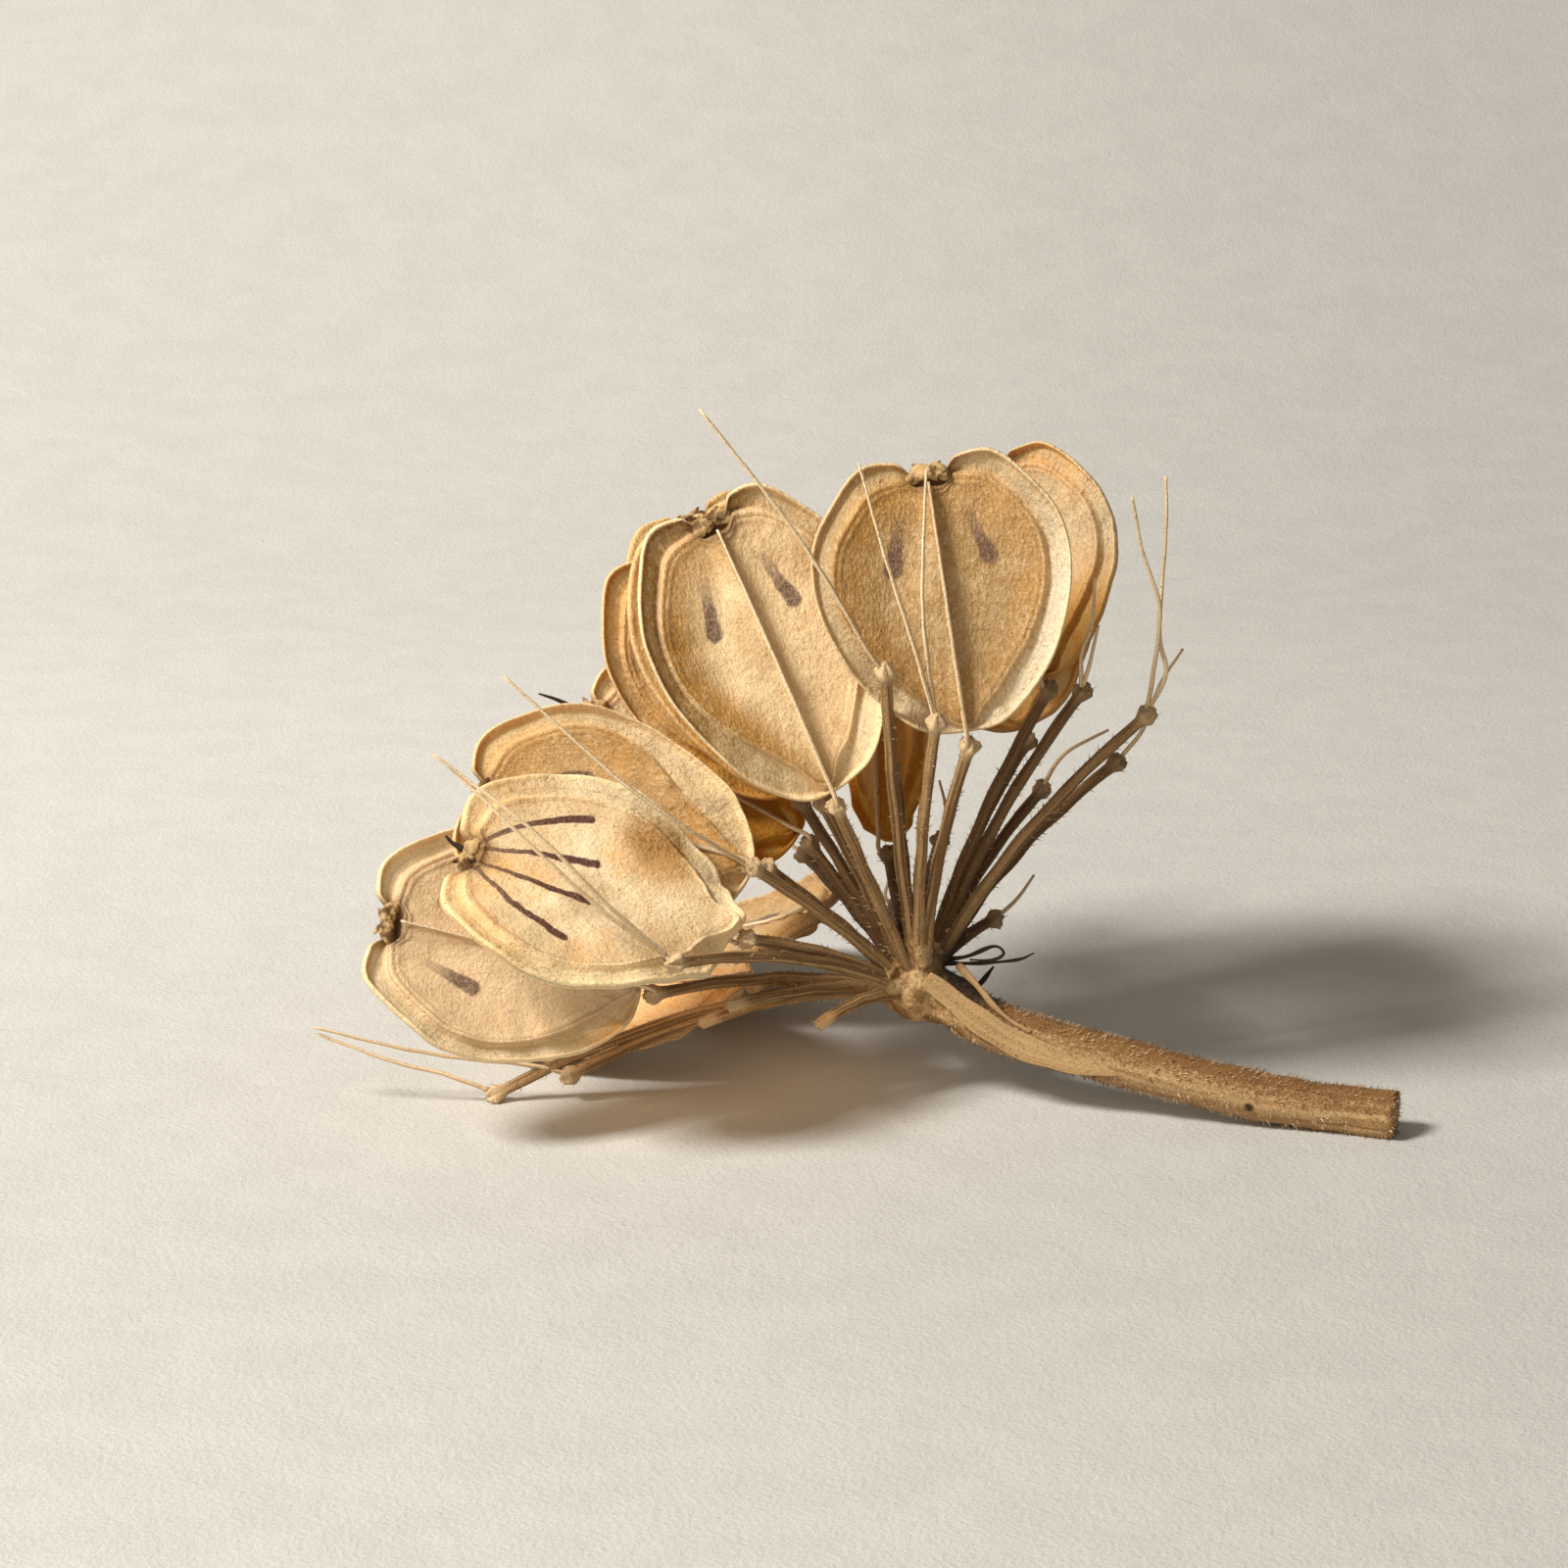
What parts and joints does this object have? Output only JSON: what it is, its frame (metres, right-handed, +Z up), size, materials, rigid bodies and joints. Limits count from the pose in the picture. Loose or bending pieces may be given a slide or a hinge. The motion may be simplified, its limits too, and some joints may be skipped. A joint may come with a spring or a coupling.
{
  "type": "dried hogweed seed head",
  "caption": "Small dried umbel on a cut stem, lying down: flat winged heart-shaped seeds hang on thin stalks that spread from a knobbly hub.",
  "frame": {"origin": "on the table under the middle of the part's box", "axes": "+X along the stem towards its cut end, +Y into depth behind the front seeds, +Z up"},
  "size_m": [0.0316, 0.0208, 0.0212],
  "materials": {
    "dry_seed": "matte papery straw",
    "dry_stalk": "matte fibrous brown"
  },
  "bodies": {
    "root": {"stalk": "dry_stalk", "seed_middle_front": "dry_seed", "seed_right_front": "dry_seed", "seed_right_far": "dry_seed", "seed_middle_inner": "dry_seed", "seed_middle_outer": "dry_seed", "seed_left_top": "dry_seed", "seed_left_upper": "dry_seed", "seed_left_ribbed": "dry_seed", "seed_left_lower": "dry_seed", "seed_low_flat": "dry_seed", "seed_core": "dry_seed", "seed_back_low": "dry_seed", "seed_back_middle": "dry_seed", "seed_back_right": "dry_seed"}
  },
  "joints": []
}
